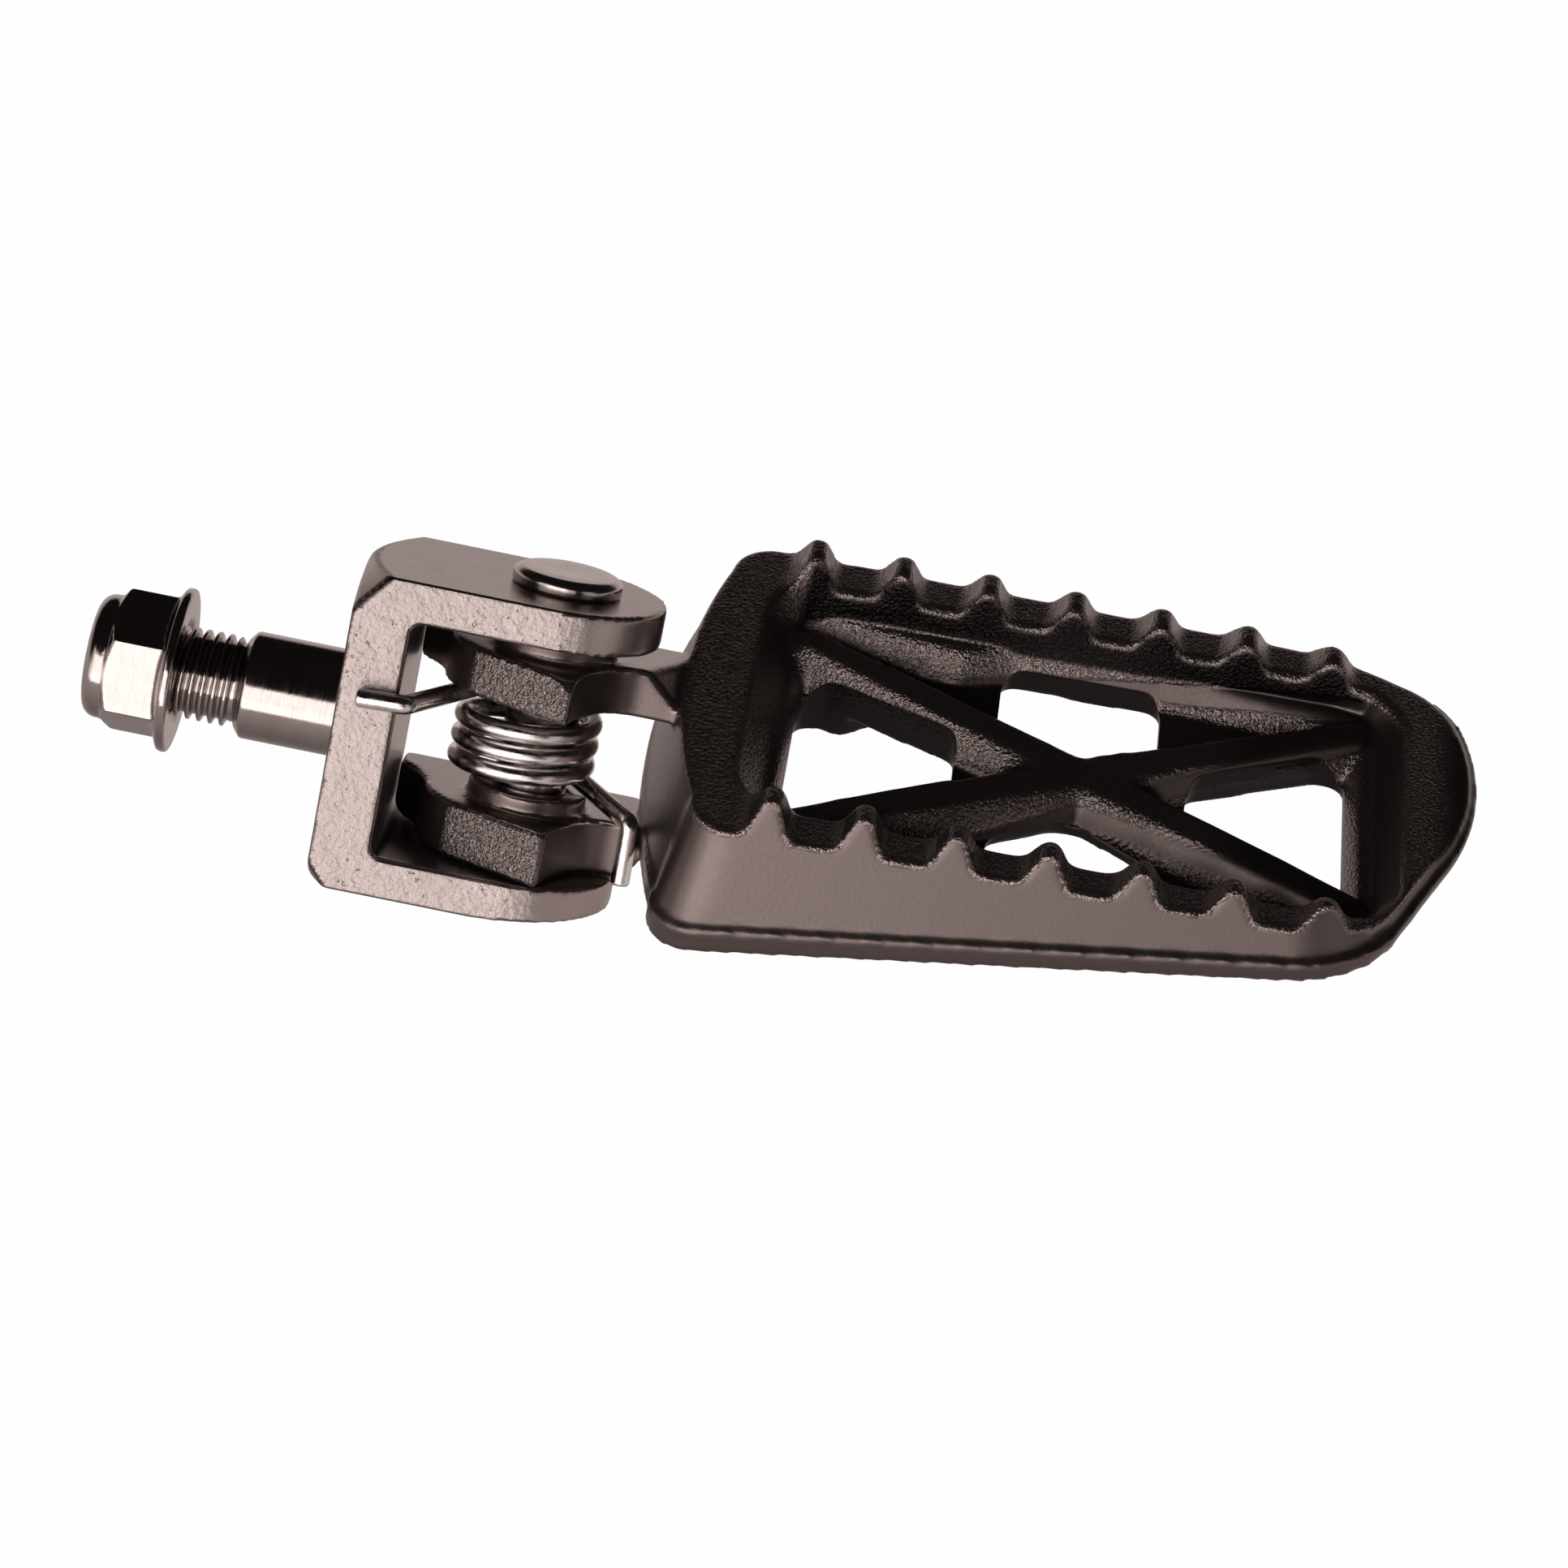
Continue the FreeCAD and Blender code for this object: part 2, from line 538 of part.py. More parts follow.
def peg_body():
    shell = platform_shell()
    crown = sloped_block(rim_z, flat(60))
    teeth = [tooth(FIRST_TOOTH_X + TOOTH_PITCH * i) for i in range(TOOTH_COUNT)]
    tall = shell.common(teeth[0].fuse(teeth[1:]))
    body = shell.cut(crown).fuse(tall).cut(bowl())
    body = body.fuse([bar.common(shell) for bar in ribs()])
    body = body.cut(underside()).fuse(web_plate()).cut(windows()).fuse(lugs().cut(lug_trim()))
    bore = lean(cylinder(PIN_RADIUS + PIN_SLACK, -30, 30))
    return body.cut(bore).removeSplitter()


NODES = {"bracket": bracket, "lock_nut": lock_nut, "nut_insert": nut_insert, "hinge_pin": hinge_pin,
         "pin_washer": pin_washer, "retaining_ring": retaining_ring, "return_spring": return_spring,
         "peg_body": peg_body}


def main():
    os.makedirs("parts", exist_ok=True)
    for name, make in NODES.items():
        shape = make()
        box = shape.BoundBox
        print(f"{name}: solids {len(shape.Solids)} valid {shape.isValid()} volume {shape.Volume:.0f} "
              f"x {box.XMin:.1f}..{box.XMax:.1f} y {box.YMin:.1f}..{box.YMax:.1f} "
              f"z {box.ZMin:.1f}..{box.ZMax:.1f}")
        shape.exportStep(f"parts/{name}.step")


main()
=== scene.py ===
"""Looks of the folding foot peg: castings, a threaded stud, a sprung wire, finishes, light and camera.

Lengths are in metres in the frame's own axes.  Pieces round the hinge are worked out in hinge coordinates:
x outboard, z along the leaning pin towards its head, and the bracket's open mouth facing -y.
"""
import math

import bmesh
import bpy
import numpy as np
from mathutils import Matrix, Vector


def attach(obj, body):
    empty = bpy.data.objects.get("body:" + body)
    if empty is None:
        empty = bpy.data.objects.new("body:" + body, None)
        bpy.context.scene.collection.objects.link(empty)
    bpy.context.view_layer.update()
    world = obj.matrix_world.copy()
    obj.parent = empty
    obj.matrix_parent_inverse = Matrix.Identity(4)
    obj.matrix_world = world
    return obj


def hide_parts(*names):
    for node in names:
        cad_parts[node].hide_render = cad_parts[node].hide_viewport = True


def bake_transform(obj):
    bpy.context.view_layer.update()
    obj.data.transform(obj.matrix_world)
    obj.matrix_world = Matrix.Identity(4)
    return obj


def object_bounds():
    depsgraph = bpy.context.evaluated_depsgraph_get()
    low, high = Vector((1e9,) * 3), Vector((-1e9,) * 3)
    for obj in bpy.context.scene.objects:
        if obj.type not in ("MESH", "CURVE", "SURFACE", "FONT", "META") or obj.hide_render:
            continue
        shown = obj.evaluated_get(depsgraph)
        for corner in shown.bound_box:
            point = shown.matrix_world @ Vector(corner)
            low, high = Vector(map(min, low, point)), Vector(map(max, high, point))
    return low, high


MM = 0.001
LEAN = math.radians(25)             # the hinge pin leans this much from upright
HINGE_X = 21.3 * MM
EAR_REACH = 11.55 * MM              # half the bracket's width
EAR_TOP = 17.5 * MM                 # outer face of the upper ear, along the pin
PIN_RADIUS = 4.0 * MM
HEAD_RADIUS, HEAD_THICK = 6.0 * MM, 2.0 * MM
PIN_END = -19.3 * MM                # the pin's lower end, along the pin
GROOVE = (-18.07 * MM, -17.27 * MM)     # the retaining ring's groove, along the pin
GROOVE_RADIUS = 3.2 * MM
SHANK_RADIUS, SHANK_END = 5.9 * MM, -10.5 * MM
THREAD_RADIUS, THREAD_PITCH, THREAD_DEPTH = 5.0 * MM, 1.25 * MM, 0.7 * MM
STUD_END = -25.4 * MM
WIRE_RADIUS, COIL_RADIUS, COIL_X = 1.05 * MM, 7.0 * MM, 19.9 * MM
COIL_TOP, COIL_PITCH = 4.05 * MM, 2.3 * MM
LEG_IN = ((2.2, -12.65, 4.25), (7.4, -12.65, 4.45))         # millimetres, hinge coordinates
LEG_OUT = ((32.9, -3.2, -6.0), (33.1, -3.7, -13.0))
FLAT_NORMAL = Vector((-0.46, -0.888, 0.0))                  # of the lugs' flat fronts, hinge coordinates
FLAT_POINT = Vector((15.7, -7.6, 0.0)) * MM
RIM_ROOT, MIDDLE_Y = 47.0 * MM, 7.8 * MM                    # heights below are measured at RIM_ROOT
LEDGE_Z, LEDGE_SLOPE = -2.0 * MM, 0.133
WEB_TOP, WEB_RUN = (2.8 * MM, 4.6 * MM), 64.5 * MM          # the web's top, at RIM_ROOT and WEB_RUN on
WEB_LOW = (-1.6 * MM, 1.2 * MM)                             # its underside
STEEP = 1.7                                                 # fall per run beside the ribs and walls
BENCH = 1.3 * MM                                            # the gutters start this far above the web
BENCH_EDGE = (np.array((46, 50, 66, 71, 88, 93, 102.5, 112)) * MM,
              np.array((18.9, 18.9, 17.4, 19.2, 19.2, 19.0, 18.2, 17.5)) * MM)
RIB_MIDDLE = (80.2 * MM, 7.6 * MM)
RIB_ENDS = ((45.5 * MM, 23.0 * MM), (45.5 * MM, -12.0 * MM),
            (112.5 * MM, 23.6 * MM), (112.5 * MM, -8.6 * MM))
BOWL_IN, BOWL_OUT = 47.5 * MM, 111 * MM                     # the hollow top's ends, level with the web
TURNED_CENTRE = (-0.9 * MM, -0.7 * MM)                      # axis of the forging's round chamfer, y and z
TURNED_RADIUS = 17.7 * MM                                   # its radius at the back face; 45 degrees
PLATFORM_VOXEL, FORGING_VOXEL, NUT_VOXEL = 0.33 * MM, 0.3 * MM, 0.2 * MM
ROW_STEP = 0.4 * MM                                         # longest step between a turned piece's rows
WIRE_STEP = 0.15                                            # millimetres between the wire's rings
FLOOR_GAP, FLOOR_REACH = 0.0002, 5.0                        # below the object, and half its width

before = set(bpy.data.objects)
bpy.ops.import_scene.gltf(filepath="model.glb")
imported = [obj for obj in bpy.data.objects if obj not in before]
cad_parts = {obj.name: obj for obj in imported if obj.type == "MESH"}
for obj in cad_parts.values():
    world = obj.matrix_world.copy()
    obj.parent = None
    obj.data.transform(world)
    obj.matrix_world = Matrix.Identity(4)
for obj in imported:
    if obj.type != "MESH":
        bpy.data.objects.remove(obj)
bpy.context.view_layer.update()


# ---- places ----------------------------------------------------------------------------------
def to_hinge(co):
    """Row-frame points or directions (n, 3) in hinge coordinates."""
    c, s = math.cos(LEAN), math.sin(LEAN)
    return np.column_stack((co[:, 0], co[:, 1] * c - co[:, 2] * s, co[:, 1] * s + co[:, 2] * c))


def to_row(co):
    c, s = math.cos(LEAN), math.sin(LEAN)
    return np.column_stack((co[:, 0], co[:, 1] * c + co[:, 2] * s, -co[:, 1] * s + co[:, 2] * c))


def ramp(value, low, high):
    """0 below low, 1 above high, smooth between; low may be the larger."""
    t = np.clip((value - low) / (high - low), 0, 1)
    return t * t * (3 - 2 * t)


# ---- meshes ----------------------------------------------------------------------------------
def link(name, mesh):
    obj = bpy.data.objects.new(name, mesh)
    bpy.context.scene.collection.objects.link(obj)
    return obj


def welded_copy(node, name):
    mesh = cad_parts[node].data.copy()
    bm = bmesh.new()
    bm.from_mesh(mesh)
    bmesh.ops.remove_doubles(bm, verts=bm.verts, dist=0.002 * MM)
    bm.to_mesh(mesh)
    bm.free()
    mesh.materials.clear()
    return link(name, mesh)


def remeshed(obj, voxel):
    """The object's mesh rebuilt as one even skin."""
    modifier = obj.modifiers.new("skin", "REMESH")
    modifier.mode = "VOXEL"
    modifier.voxel_size = voxel
    graph = bpy.context.evaluated_depsgraph_get()
    mesh = bpy.data.meshes.new_from_object(obj.evaluated_get(graph))
    obj.modifiers.clear()
    obj.data = mesh
    return obj


def points(mesh):
    co = np.empty(len(mesh.vertices) * 3, np.float32)
    mesh.vertices.foreach_get("co", co)
    return co.reshape(-1, 3).astype(float)


def set_points(mesh, co):
    mesh.vertices.foreach_set("co", co.astype(np.float32).ravel())
    mesh.update()


def normals(mesh):
    out = np.empty(len(mesh.vertices) * 3, np.float32)
    mesh.vertex_normals.foreach_get("vector", out)
    return out.reshape(-1, 3).astype(float)


def soften(mesh, rounds, weight=None):
    """Round the edges by averaging each vertex with its neighbours; weight(co) is 0 to 1 per vertex."""
    edges = np.empty(len(mesh.edges) * 2, np.int32)
    mesh.edges.foreach_get("vertices", edges)
    a, b = edges.reshape(-1, 2).T
    co = points(mesh)
    count = np.bincount(np.concatenate((a, b)), minlength=len(co)).astype(float)
    share = (0.5 if weight is None else 0.5 * weight(co)[:, None]) * np.ones((len(co), 1))
    for _ in range(rounds):
        total = np.empty_like(co)
        for axis in range(3):
            column = co[:, axis]
            total[:, axis] = np.bincount(a, column[b], len(co)) + np.bincount(b, column[a], len(co))
        co += share * (total / count[:, None] - co)
    set_points(mesh, co)


def smooth_shaded(mesh):
    mesh.polygons.foreach_set("use_smooth", np.ones(len(mesh.polygons), bool))
    mesh.update()


def put_attribute(mesh, name, value):
    attribute = mesh.attributes.new(name, "FLOAT", "POINT")
    attribute.data.foreach_set("value", value.astype(np.float32))


def stepped(profile, longest):
    """The outline with points added so that no step is longer than that."""
    rows = [profile[0]]
    for before, after in zip(profile, profile[1:]):
        pieces = max(1, math.ceil(math.dist(before, after) / longest))
        for i in range(1, pieces + 1):
            rows.append(tuple(np.add(before, np.subtract(after, before) * i / pieces)))
    return np.array(rows)


def lathe(name, profile, steps, hinge=False):
    """Mesh turned from (axial, radius) pairs: about the stud's axis, or about the pin if hinge is set."""
    turn = np.linspace(0, 2 * math.pi, steps, endpoint=False)
    rows = stepped(profile, ROW_STEP)
    axial = np.repeat(rows[:, 0], steps)
    radius = np.repeat(rows[:, 1], steps)
    angle = np.tile(turn, len(rows))
    if hinge:
        co = to_row(np.column_stack((HINGE_X + radius * np.cos(angle), radius * np.sin(angle), axial)))
    else:
        co = np.column_stack((axial, radius * np.cos(angle), radius * np.sin(angle)))
    return grid_mesh(name, co, len(rows), steps)


def grid_mesh(name, co, rows, steps):
    """Tube skin from rows of steps points each, with one flat face on each end."""
    faces = []
    for i in range(rows - 1):
        for j in range(steps):
            k = (j + 1) % steps
            faces.append((i * steps + j, i * steps + k, (i + 1) * steps + k, (i + 1) * steps + j))
    faces.append(tuple(range(steps - 1, -1, -1)))
    faces.append(tuple(range((rows - 1) * steps, rows * steps)))
    mesh = bpy.data.meshes.new(name)
    mesh.from_pydata(co.tolist(), [], faces)
    bm = bmesh.new()
    bm.from_mesh(mesh)
    bmesh.ops.recalc_face_normals(bm, faces=bm.faces)
    bm.to_mesh(mesh)
    bm.free()
    smooth_shaded(mesh)
    return link(name, mesh)


def rounded_profile(corners, radius, steps=5):
    """(axial, radius) outline with each inner corner replaced by a short curve."""
    out = [corners[0]]
    for before, corner, after in zip(corners, corners[1:], corners[2:]):
        p, q, r = (np.array(v) for v in (before, corner, after))
        reach = min(radius, 0.45 * np.linalg.norm(q - p), 0.45 * np.linalg.norm(r - q))
        start = q + (p - q) / np.linalg.norm(p - q) * reach
        end = q + (r - q) / np.linalg.norm(r - q) * reach
        for t in np.linspace(0, 1, steps):
            out.append(tuple((1 - t) ** 2 * start + 2 * t * (1 - t) * q + t * t * end))
    out.append(corners[-1])
    return out


# ---- pieces ----------------------------------------------------------------------------------
def ledge_height(x):
    return LEDGE_Z + LEDGE_SLOPE * (x - RIM_ROOT)


def near_ledge(co):
    """1 along the step between skirt and band."""
    off = np.abs(co[:, 2] - ledge_height(co[:, 0]))
    return ramp(off, 1.4 * MM, 0.9 * MM) * ramp(co[:, 0], 34 * MM, 37 * MM)


def on_walls(co):
    """1 on the flat middles of the skirt and of the band under it, 0 at their edges."""
    over = co[:, 2] - ledge_height(co[:, 0])
    skirt = ramp(over, 1.2 * MM, 2.0 * MM) * ramp(co[:, 2], 6.6 * MM, 5.8 * MM)
    band = ramp(over, -0.9 * MM, -1.2 * MM) * ramp(over, -2.4 * MM, -2.1 * MM)
    return np.maximum(skirt, band) * ramp(co[:, 0], 37 * MM, 39 * MM)


def web_height(x):
    return WEB_TOP[0] + (WEB_TOP[1] - WEB_TOP[0]) * (x - RIM_ROOT) / WEB_RUN


def web_low(x):
    return WEB_LOW[0] + (WEB_LOW[1] - WEB_LOW[0]) * (x - RIM_ROOT) / WEB_RUN


def in_bowl(co):
    """1 on the casting's hollow top between the rims, fading out at its edges."""
    across = np.abs(co[:, 1] - MIDDLE_Y)
    inside = ramp(across, 21.4 * MM, 20.4 * MM)
    inside = inside * ramp(co[:, 0], 42 * MM, 45 * MM) * ramp(co[:, 0], 116 * MM, 112 * MM)
    return inside * ramp(co[:, 2] - web_height(co[:, 0]), -2.2 * MM, -1.0 * MM)


def rib_distance(co):
    """Distance in plan to the nearest of the four rib centre lines."""
    middle = np.array(RIB_MIDDLE)
    nearest = np.full(len(co), 1.0)
    for end in RIB_ENDS:
        arm = np.array(end) - middle
        along = np.clip((co[:, :2] - middle) @ arm / (arm @ arm), 0, 1)
        nearest = np.minimum(nearest, np.linalg.norm(co[:, :2] - middle - along[:, None] * arm, axis=1))
    return nearest


def bowl_height(co):
    """Top of the cast web: crowned ribs with steep sides, gutters that fall from a bench by the walls."""
    x, across = co[:, 0], np.abs(co[:, 1] - MIDDLE_Y)
    level, out = web_height(x), np.abs(x - RIB_MIDDLE[0]) / (33 * MM)
    distance = rib_distance(co)
    crest = 1.2 * MM + 0.8 * MM * np.clip(out, 0, 1)
    side = STEEP * np.maximum(distance - (2.4 - 0.85 * np.clip(out, 0, 1)) * MM, 0)
    ribs = level + crest - side
    gutters = level + BENCH - STEEP * np.maximum(np.interp(x, *BENCH_EDGE) - across, 0)
    ends = level - STEEP * np.minimum(x - BOWL_IN, BOWL_OUT - x)
    lowest = np.maximum(level - 2.4 * MM, level - 0.6 * (level - web_low(x)))
    return np.max((ribs, gutters, ends, lowest), axis=0)


def dished(co):
    """Move the web's upper skin onto bowl_height, filling but never cutting next to the walls."""
    across = np.abs(co[:, 1] - MIDDLE_Y)
    plan = ramp(co[:, 0], 46.8 * MM, 47.6 * MM) * ramp(co[:, 0], 112 * MM, 111.2 * MM)
    upper = co[:, 2] > web_low(co[:, 0]) + 0.36 * (web_height(co[:, 0]) - web_low(co[:, 0]))
    rise = bowl_height(co) - co[:, 2]
    share = np.where(rise > 0, ramp(across, 19.5 * MM, 19.2 * MM), ramp(across, 19.0 * MM, 18.6 * MM))
    out = co.copy()
    out[:, 2] += np.where(upper, plan * share * rise, 0)
    return out


def painted_shade_walls(co, direction):
    """1 on the upright walls of the windows and of the hollow between the rims: there painted shade darkens
    the colour.
    """
    across, over = np.abs(co[:, 1] - MIDDLE_Y), co[:, 2] - bowl_height(co)
    tilt = np.abs(direction[:, 2])
    lengthwise = ramp(co[:, 0], 46.5 * MM, BOWL_IN) * ramp(co[:, 0], 112 * MM, BOWL_OUT)
    windows = ramp(across, 19.5 * MM, 19.0 * MM) * ramp(over, -0.3 * MM, -0.8 * MM) * ramp(tilt, 0.75, 0.5)
    walls = ramp(tilt, 0.5, 0.3) * ramp(across, 20.6 * MM, 20.2 * MM)
    return lengthwise * np.maximum(windows, walls)


def platform():
    """The toothed casting with its lugs: cast edges are rounded, the lugs stay crisper."""
    obj = remeshed(welded_copy("peg_body", "platform"), PLATFORM_VOXEL)
    mesh = obj.data
    soften(mesh, 6)
    soften(mesh, 30, on_walls)
    set_points(mesh, dished(points(mesh)))
    soften(mesh, 16, in_bowl)
    smooth_shaded(mesh)
    co, direction = to_hinge(points(mesh)), to_hinge(normals(mesh))
    outward = np.array(FLAT_NORMAL.normalized())
    facing = direction @ outward
    off = np.abs((co - np.array(FLAT_POINT)) @ outward)
    put_attribute(mesh, "grit", ramp(facing, 0.88, 0.97) * ramp(off, 0.6 * MM, 0.3 * MM))
    put_attribute(mesh, "machined", ramp(co[:, 0], 37.5 * MM, 34 * MM))
    row = points(mesh)
    row_direction = normals(mesh)
    skirt = ramp(np.abs(row_direction[:, 2]), 0.62, 0.45) * (1 - in_bowl(row))
    # the skirt mask also carries painted shade: the coat is set darker there, as well as rougher and
    # smoother-grained
    put_attribute(mesh, "skirt", np.maximum(skirt, near_ledge(row)))
    # painted shade: mask of the window and hollow walls, where the casting's colour is darkened
    put_attribute(mesh, "painted_shade", painted_shade_walls(row, row_direction))
    return obj


def forging():
    """The U-shaped bracket without its stud."""
    obj = welded_copy("bracket", "bracket_forging")
    bm = bmesh.new()
    bm.from_mesh(obj.data)
    geometry = bm.verts[:] + bm.edges[:] + bm.faces[:]
    cut = bmesh.ops.bisect_plane(bm, geom=geometry, plane_co=(-0.1 * MM, 0, 0), plane_no=(-1, 0, 0),
                                 clear_outer=True)
    rim = [e for e in cut["geom_cut"] if isinstance(e, bmesh.types.BMEdge)]
    bmesh.ops.triangle_fill(bm, edges=rim, use_beauty=True)
    bm.to_mesh(obj.data)
    bm.free()
    mesh = remeshed(obj, FORGING_VOXEL).data
    soften(mesh, 4)
    smooth_shaded(mesh)
    co, direction = to_hinge(points(mesh)), to_hinge(normals(mesh))
    outer = ramp(np.abs(co[:, 1]), EAR_REACH - 1.2 * MM, EAR_REACH - 0.5 * MM)
    put_attribute(mesh, "forged", ramp(np.abs(direction[:, 1]), 0.8, 0.97) * outer)
    row = points(mesh)
    from_axis = np.hypot(row[:, 1] - TURNED_CENTRE[0], row[:, 2] - TURNED_CENTRE[1])
    off_cone = from_axis - TURNED_RADIUS - row[:, 0]
    put_attribute(mesh, "turned", ramp(np.abs(off_cone), 0.35 * MM, 0.15 * MM))
    return obj


def stud():
    """Plain shank, undercut and helical M10 thread, turned on the stud's axis."""
    root = THREAD_RADIUS - THREAD_DEPTH
    shank = rounded_profile([(0.3 * MM, SHANK_RADIUS), (SHANK_END, SHANK_RADIUS),
                             (SHANK_END - 0.8 * MM, THREAD_RADIUS - 0.1 * MM),
                             (SHANK_END - 1.0 * MM, root)], 0.25 * MM)
    start = SHANK_END - 1.1 * MM
    samples = int((start - STUD_END) / (THREAD_PITCH / 16))
    thread = [(start + (STUD_END - start) * i / samples, root) for i in range(samples + 1)]
    obj = lathe("stud", shank + thread, steps=96)
    co = points(obj.data)
    angle = np.arctan2(co[:, 2], co[:, 1])
    phase = (co[:, 0] / THREAD_PITCH + angle / (2 * math.pi)) % 1.0
    ridge = ramp(np.abs(phase - 0.5), 0.42, 0.08)
    fade = ramp(co[:, 0], start + 0.1 * MM, start - 0.7 * MM) * ramp(co[:, 0], STUD_END, STUD_END + 1.0 * MM)
    radius = np.hypot(co[:, 1], co[:, 2])
    grown = radius + np.where(co[:, 0] <= start, THREAD_DEPTH * ridge * fade, 0)
    co[:, 1] *= grown / radius
    co[:, 2] *= grown / radius
    set_points(obj.data, co)
    return obj


def hinge_pin():
    top = EAR_TOP + HEAD_THICK
    corners = [(top - 0.12 * MM, 0.01 * MM), (top, 3.6 * MM), (top - 0.1 * MM, 5.2 * MM),
               (top - 0.6 * MM, HEAD_RADIUS), (EAR_TOP + 0.25 * MM, HEAD_RADIUS),
               (EAR_TOP, HEAD_RADIUS - 0.25 * MM), (EAR_TOP, PIN_RADIUS),
               (GROOVE[1], PIN_RADIUS), (GROOVE[1], GROOVE_RADIUS), (GROOVE[0], GROOVE_RADIUS),
               (GROOVE[0], PIN_RADIUS), (PIN_END + 0.5 * MM, PIN_RADIUS), (PIN_END, PIN_RADIUS - 0.5 * MM),
               (PIN_END, 0.01 * MM)]
    return lathe("pin", rounded_profile(corners, 0.35 * MM), steps=128, hinge=True)


def wire_route():
    """Centre line of the spring in hinge coordinates: leg, coil, leg, with its bends eased."""
    leg_in, leg_out = (np.array(leg) * MM for leg in (LEG_IN, LEG_OUT))
    centre = np.array((COIL_X, 0.0))

    def leaves(point, turn):
        dx, dy = point[:2] - centre
        return math.atan2(dy, dx) + turn * math.acos(COIL_RADIUS / math.hypot(dx, dy))

    start, finish = leaves(leg_in[1], -1), leaves(leg_out[0], 1)
    while finish > start:
        finish -= 2 * math.pi
    finish -= 6 * math.pi
    angle = np.linspace(start, finish, 400)
    drop = COIL_PITCH * (start - angle) / (2 * math.pi)
    coil = np.column_stack((COIL_X + COIL_RADIUS * np.cos(angle), COIL_RADIUS * np.sin(angle),
                            COIL_TOP - drop))
    line = np.vstack((leg_in, coil, leg_out))
    along = np.concatenate(([0], np.cumsum(np.linalg.norm(np.diff(line, axis=0), axis=1))))
    even = np.arange(0, along[-1], WIRE_STEP * MM)
    line = np.column_stack([np.interp(even, along, line[:, i]) for i in range(3)])
    window = np.hanning(17)
    window /= window.sum()
    half = len(window) // 2
    padded = np.vstack((line[:1] - (line[1] - line[0]) * np.arange(half, 0, -1)[:, None], line,
                        line[-1:] + (line[-1] - line[-2]) * np.arange(1, half + 1)[:, None]))
    return np.column_stack([np.convolve(padded[:, i], window, "valid") for i in range(3)])


def spring():
    """Round wire swept along its route, cut square at both ends."""
    line = to_row(wire_route())
    tangent = np.gradient(line, axis=0)
    tangent /= np.linalg.norm(tangent, axis=1)[:, None]
    side = np.cross(tangent[0], (0.0, 0.0, 1.0))
    sides = 20
    turn = np.linspace(0, 2 * math.pi, sides, endpoint=False)
    rings = []
    for i, (centre, t) in enumerate(zip(line, tangent)):
        side = side - t * (side @ t)
        side /= np.linalg.norm(side)
        other = np.cross(t, side)
        from_end = min(i, len(line) - 1 - i)
        radius = WIRE_RADIUS * (0.82, 0.95)[from_end] if from_end < 2 else WIRE_RADIUS
        rings.append(centre + radius * (np.cos(turn)[:, None] * side + np.sin(turn)[:, None] * other))
    obj = grid_mesh("spring", np.vstack(rings), len(line), sides)
    put_attribute(obj.data, "along", np.repeat(np.arange(len(line)) * WIRE_STEP, sides))
    put_attribute(obj.data, "around_cos", np.tile(np.cos(turn), len(line)))
    put_attribute(obj.data, "around_sin", np.tile(np.sin(turn), len(line)))
    return obj


def nut():
    obj = remeshed(welded_copy("lock_nut", "nut"), NUT_VOXEL)
    soften(obj.data, 3)
    smooth_shaded(obj.data)
    return obj


# ---- finishes --------------------------------------------------------------------------------
class Finish:
    """A principled material and the few node patterns that the finishes share."""

    def __init__(self, name, colour, metallic, roughness, **shader):
        self.material = bpy.data.materials.new(name)
        self.material.use_nodes = True
        self.tree = self.material.node_tree
        self.shader = self.tree.nodes["Principled BSDF"]
        self.shader.inputs["Base Color"].default_value = (*colour, 1)
        self.shader.inputs["Metallic"].default_value = metallic
        self.shader.inputs["Roughness"].default_value = roughness
        for socket, value in shader.items():
            self.shader.inputs[socket.replace("_", " ")].default_value = value
        self.place = self.add("ShaderNodeTexCoord").outputs["Object"]

    def add(self, kind, inputs=(), **properties):
        node = self.tree.nodes.new(kind)
        for key, value in properties.items():
            setattr(node, key, value)
        for key, value in dict(inputs).items():
            if isinstance(value, bpy.types.NodeSocket):
                self.tree.links.new(value, node.inputs[key])
            else:
                node.inputs[key].default_value = value
        return node

    def noise(self, size, detail=2.0, harsh=0.5, stretch=(1, 1, 1), place=None):
        """Noise with features of that size in millimetres; stretch squeezes them along an axis."""
        scale = [s / MM / size for s in stretch] if place is None else [s / size for s in stretch]
        spot = self.add("ShaderNodeVectorMath", {0: place or self.place, 1: scale}, operation="MULTIPLY")
        return self.add("ShaderNodeTexNoise", {"Vector": spot.outputs[0], "Scale": 1.0, "Detail": detail,
                                               "Roughness": harsh}).outputs["Fac"]

    def calc(self, operation, a, b):
        return self.add("ShaderNodeMath", {0: a, 1: b}, operation=operation).outputs[0]

    def spread(self, value, low, high, to_low=0.0, to_high=1.0):
        inputs = {"Value": value, "From Min": low, "From Max": high, "To Min": to_low, "To Max": to_high}
        return self.add("ShaderNodeMapRange", inputs, interpolation_type="SMOOTHSTEP").outputs[0]

    def mask(self, name):
        return self.add("ShaderNodeAttribute", attribute_name=name).outputs["Fac"]

    def mix(self, share, a, b):
        node = self.add("ShaderNodeMix", data_type="RGBA")
        for index, value in ((0, share), (6, a), (7, b)):
            if isinstance(value, bpy.types.NodeSocket):
                self.tree.links.new(value, node.inputs[index])
            elif index:
                node.inputs[index].default_value = (*value, 1)
            else:
                node.inputs[index].default_value = value
        return node.outputs[2]

    def blend(self, share, a, b):
        """Plain numbers or sockets a to b by share."""
        return self.add("ShaderNodeMix", {0: share, 2: a, 3: b}, data_type="FLOAT").outputs[0]

    def relief(self, height, depth):
        """Bump of that depth in millimetres."""
        inputs = {"Height": height, "Distance": depth * MM, "Strength": 1.0}
        return self.add("ShaderNodeBump", inputs).outputs[0]

    def drive(self, socket, value):
        self.tree.links.new(value, self.shader.inputs[socket])

    def dress(self, obj):
        obj.data.materials.clear()
        obj.data.materials.append(self.material)


